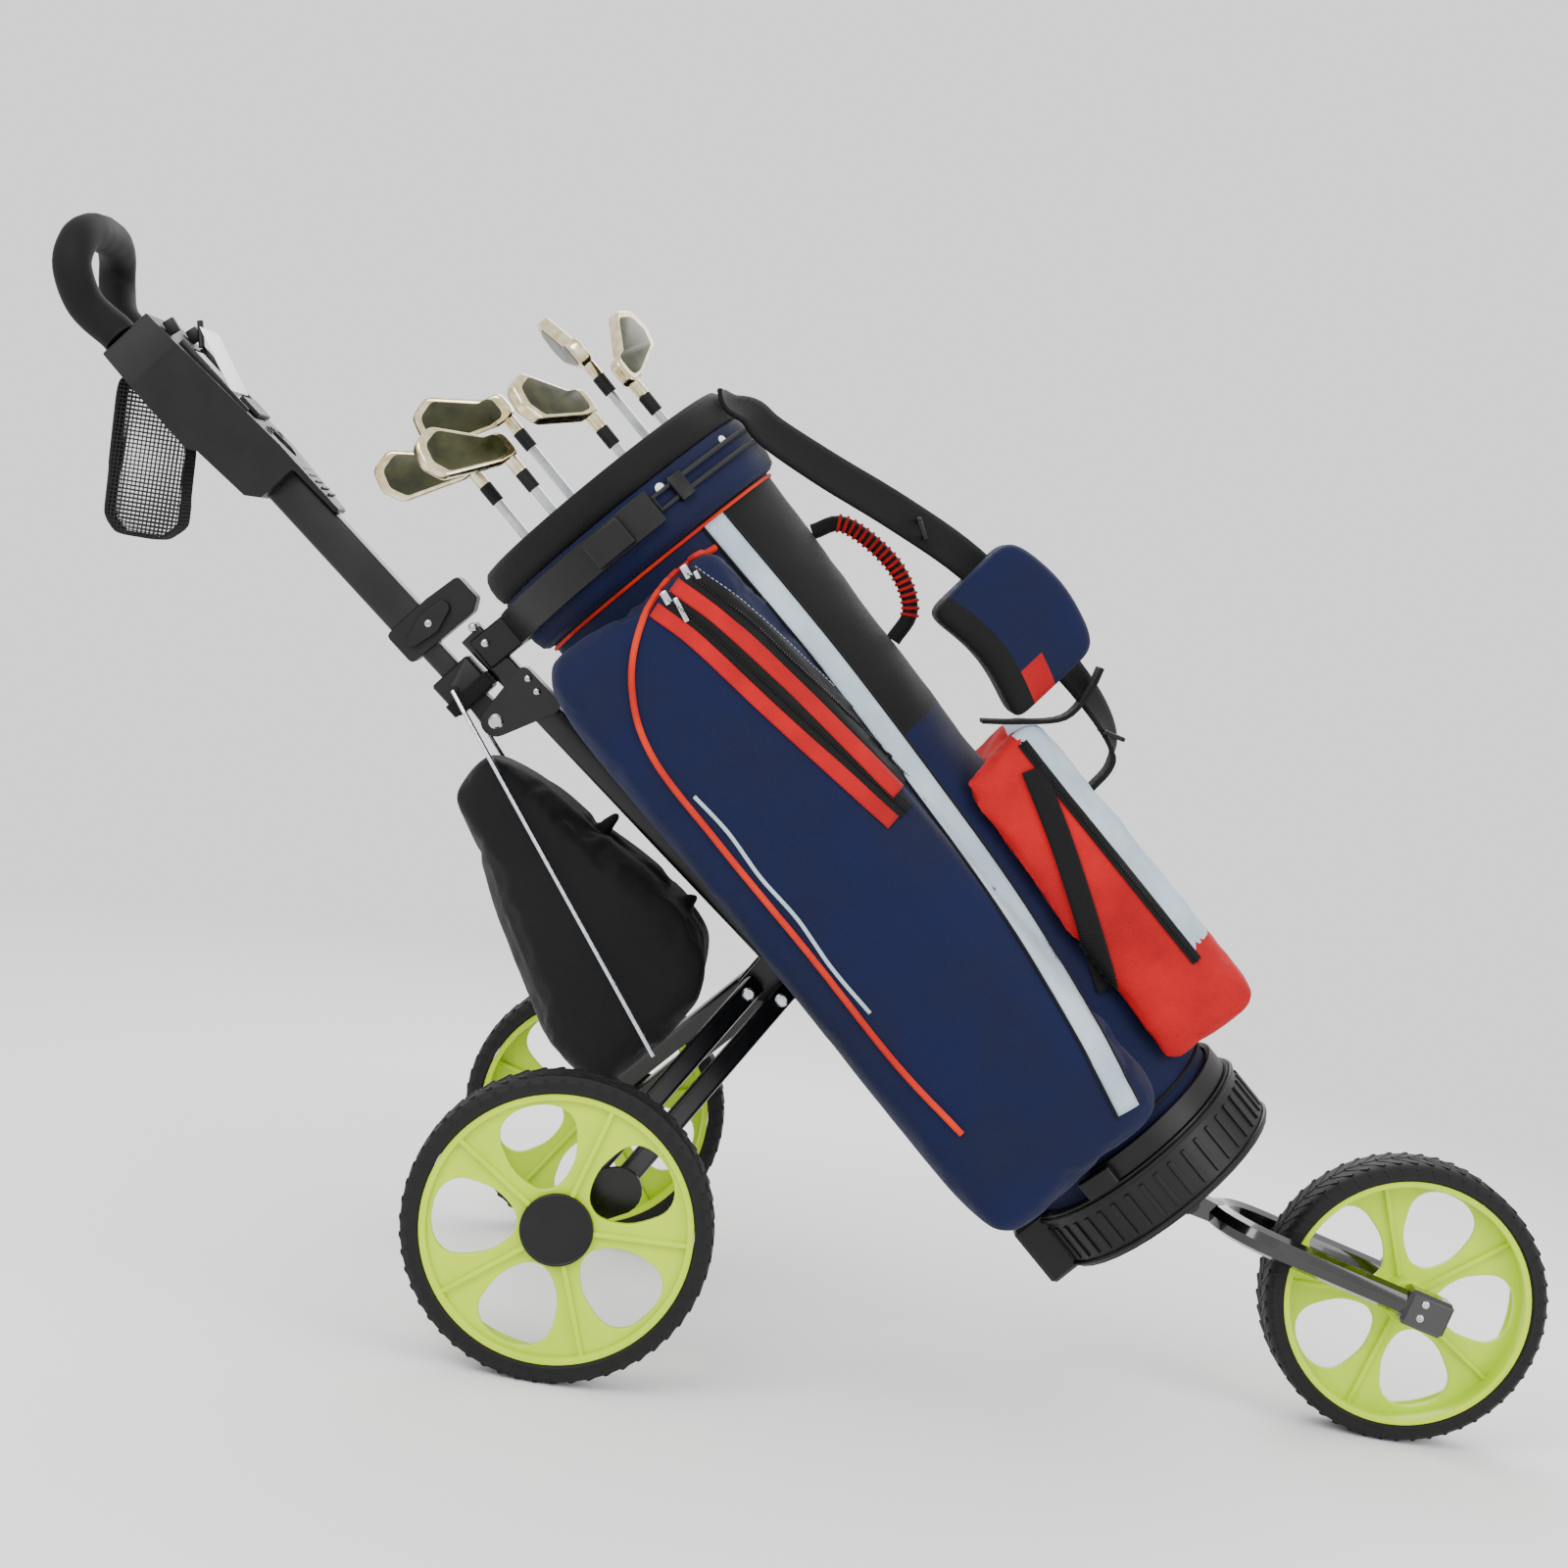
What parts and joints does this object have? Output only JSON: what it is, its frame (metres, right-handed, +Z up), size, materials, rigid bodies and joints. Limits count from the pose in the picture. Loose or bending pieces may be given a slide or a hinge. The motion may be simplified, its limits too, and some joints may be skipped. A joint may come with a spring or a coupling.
{
  "type": "golf bag on push cart",
  "caption": "Golf bag with clubs strapped along a folding three-wheel push cart that has a telescopic handle, console, foam grip and spoked wheels.",
  "frame": {"origin": "on the ground, under the middle of the box that holds the whole cart", "axes": "+X towards the front wheel, +Y to the far side (away from the clamp levers), +Z up"},
  "size_m": [1.5784, 0.56, 0.9712],
  "materials": {
    "black_tube": "satin black powder coat",
    "gloss_black_tube": "gloss black enamel",
    "black_plastic": "fine matte texture",
    "bright_steel": "polished",
    "spring_steel": "drawn wire",
    "lime_plastic": "semi-gloss",
    "tyre_rubber": "matte, patterned tread",
    "foam": "matte closed-cell foam",
    "mesh_fabric": "open black net",
    "black_fabric": "woven, coated",
    "navy_fabric": "woven nylon",
    "red_fabric": "woven nylon",
    "club_metal": "satin",
    "elastic": "braided cover"
  },
  "bodies": {
    "frame": {"main_tube": "black_tube", "pivot_bracket": "black_tube", "pivot_bolt": "bright_steel", "leg_bracket": "black_tube", "link_pin": "bright_steel", "leg_pin": "bright_steel", "base_cup": "black_plastic", "base_band": "black_plastic", "fork_bracket": "black_tube", "fork_pin": "bright_steel", "lock_spring": "spring_steel", "upper_cradle": "black_plastic", "elastic_cord": "elastic", "storage_bag": "black_fabric"},
    "lower_handle": {"collar_block": "black_plastic", "inner_tube": "black_tube", "collar_webbing": "black_fabric"},
    "upper_handle": {"clamp_housing": "black_plastic", "handle_tube": "black_tube", "console": "black_plastic", "grip": "foam", "mesh_pouch": "mesh_fabric"},
    "clamp_lever": {"clamp_lever": "black_plastic"},
    "card_clip": {"card_clip": "black_plastic"},
    "upper_buckle": {"upper_buckle": "black_plastic"},
    "base_buckle": {"base_buckle": "black_plastic"},
    "lock_pin": {"lock_pin": "black_plastic"},
    "rear_legs": {"rear_leg_near": "black_tube", "rear_leg_far": "black_tube"},
    "leg_links": {"rear_link_near": "black_tube", "rear_link_far": "black_tube"},
    "axle_plates": {"axle_plate_near": "black_tube", "axle_plate_far": "black_tube", "rear_axle_near": "bright_steel", "rear_axle_far": "bright_steel"},
    "rear_wheel_near": {"rear_wheel_near_rim": "lime_plastic", "rear_wheel_near_tyre": "tyre_rubber", "rear_hub_cap_near": "black_plastic"},
    "rear_wheel_far": {"rear_wheel_far_rim": "lime_plastic", "rear_wheel_far_tyre": "tyre_rubber", "rear_hub_cap_far": "black_plastic"},
    "fold_rods": {"fold_rod_near": "bright_steel", "fold_rod_far": "bright_steel"},
    "fork": {"fork": "gloss_black_tube", "front_axle": "bright_steel"},
    "front_wheel": {"front_wheel_rim": "lime_plastic", "front_wheel_tyre": "tyre_rubber"},
    "golf_bag": {"bag_shell": "navy_fabric", "bag_cuff": "black_fabric", "side_pocket_near": "navy_fabric", "side_pocket_far": "navy_fabric", "front_pocket": "red_fabric", "lift_handle": "black_fabric", "shoulder_strap": "black_fabric"},
    "club_1": {"club_1": "club_metal"},
    "club_2": {"club_2": "club_metal"},
    "club_3": {"club_3": "club_metal"},
    "club_4": {"club_4": "club_metal"},
    "club_5": {"club_5": "club_metal"},
    "club_6": {"club_6": "club_metal"}
  },
  "joints": [
    {"name": "handle_fold", "type": "hinge", "parent": "frame", "child": "lower_handle", "pos_m": [-0.32383, 0, 0.556], "axis": [0, -1, 0], "range_deg": [0, 150], "deforming": ["storage_bag"]},
    {"name": "rear_leg_fold", "type": "hinge", "parent": "frame", "child": "rear_legs", "pos_m": [-0.00733, 0, 0.3392], "axis": [0, -1, 0], "range_deg": [0, 75]},
    {"name": "leg_link_fold", "type": "hinge", "parent": "frame", "child": "leg_links", "pos_m": [-0.03983, 0, 0.3395], "axis": [0, -1, 0], "range_deg": [0, 75]},
    {"name": "axle_plate_turn", "type": "hinge", "parent": "rear_legs", "child": "axle_plates", "pos_m": [-0.12983, 0, 0.1717], "axis": [0, -1, 0], "range_deg": [-75, 0]},
    {"name": "fold_rod_turn", "type": "hinge", "parent": "lower_handle", "child": "fold_rods", "pos_m": [-0.3679, 0, 0.57923], "axis": [0, -1, 0], "range_deg": [-140, 0]},
    {"name": "rear_wheel_near_spin", "type": "hinge", "parent": "axle_plates", "child": "rear_wheel_near", "pos_m": [-0.17683, -0.2575, 0.14], "axis": [0, 1, 0], "continuous": true},
    {"name": "rear_wheel_far_spin", "type": "hinge", "parent": "axle_plates", "child": "rear_wheel_far", "pos_m": [-0.17683, 0.2575, 0.14], "axis": [0, 1, 0], "continuous": true},
    {"name": "front_wheel_spin", "type": "hinge", "parent": "fork", "child": "front_wheel", "pos_m": [0.64917, 0, 0.14], "axis": [0, 1, 0], "continuous": true},
    {"name": "fork_fold", "type": "hinge", "parent": "frame", "child": "fork", "pos_m": [0.42017, 0, 0.202], "axis": [0, 1, 0], "range_deg": [0, 80]},
    {"name": "lock_pin_slide", "type": "slide", "parent": "frame", "child": "lock_pin", "axis": [-0.6613, 0, -0.7501], "range_m": [0, 0.012], "stiffness_N_per_m": 250, "springref_m": -0.004, "deforming": ["lock_spring"]},
    {"name": "handle_slide", "type": "slide", "parent": "lower_handle", "child": "upper_handle", "axis": [-0.7859, 0, 0.6184], "range_m": [0, 0.15]},
    {"name": "clamp_lever_turn", "type": "hinge", "parent": "upper_handle", "child": "clamp_lever", "pos_m": [-0.4018, -0.0213, 0.63899], "axis": [0, 1, 0], "range_deg": [0, 90]},
    {"name": "card_clip_open", "type": "hinge", "parent": "upper_handle", "child": "card_clip", "pos_m": [-0.59339, 0, 0.80528], "axis": [0, 1, 0], "range_deg": [0, 60], "stiffness_Nm_per_rad": 0.03, "springref_deg": -17.19},
    {"name": "upper_buckle_open", "type": "hinge", "parent": "frame", "child": "upper_buckle", "pos_m": [-0.24901, -0.1464, 0.72912], "axis": [0.7501, 0, -0.6613], "range_deg": [0, 90]},
    {"name": "base_buckle_open", "type": "hinge", "parent": "frame", "child": "base_buckle", "pos_m": [0.30574, -0.09984, 0.21563], "axis": [0.7501, 0, -0.6613], "range_deg": [0, 90]},
    {"name": "bag_lift", "type": "slide", "parent": "frame", "child": "golf_bag", "axis": [-0.7501, 0, 0.6613], "range_m": [0, 0.03]},
    {"name": "club_1_slide", "type": "slide", "parent": "golf_bag", "child": "club_1", "axis": [-0.7501, 0, 0.6613], "range_m": [0, 0.2]},
    {"name": "club_2_slide", "type": "slide", "parent": "golf_bag", "child": "club_2", "axis": [-0.7501, 0, 0.6613], "range_m": [0, 0.2]},
    {"name": "club_3_slide", "type": "slide", "parent": "golf_bag", "child": "club_3", "axis": [-0.7501, 0, 0.6613], "range_m": [0, 0.2]},
    {"name": "club_4_slide", "type": "slide", "parent": "golf_bag", "child": "club_4", "axis": [-0.7501, 0, 0.6613], "range_m": [0, 0.2]},
    {"name": "club_5_slide", "type": "slide", "parent": "golf_bag", "child": "club_5", "axis": [-0.7501, 0, 0.6613], "range_m": [0, 0.2]},
    {"name": "club_6_slide", "type": "slide", "parent": "golf_bag", "child": "club_6", "axis": [-0.7501, 0, 0.6613], "range_m": [0, 0.2]}
  ],
  "couplings": [
    {"joint": "rear_leg_fold", "follows": "handle_fold", "ratio": 0.5},
    {"joint": "leg_link_fold", "follows": "handle_fold", "ratio": 0.5},
    {"joint": "axle_plate_turn", "follows": "handle_fold", "ratio": -0.5},
    {"joint": "fold_rod_turn", "follows": "handle_fold", "ratio": -0.9253}
  ]
}
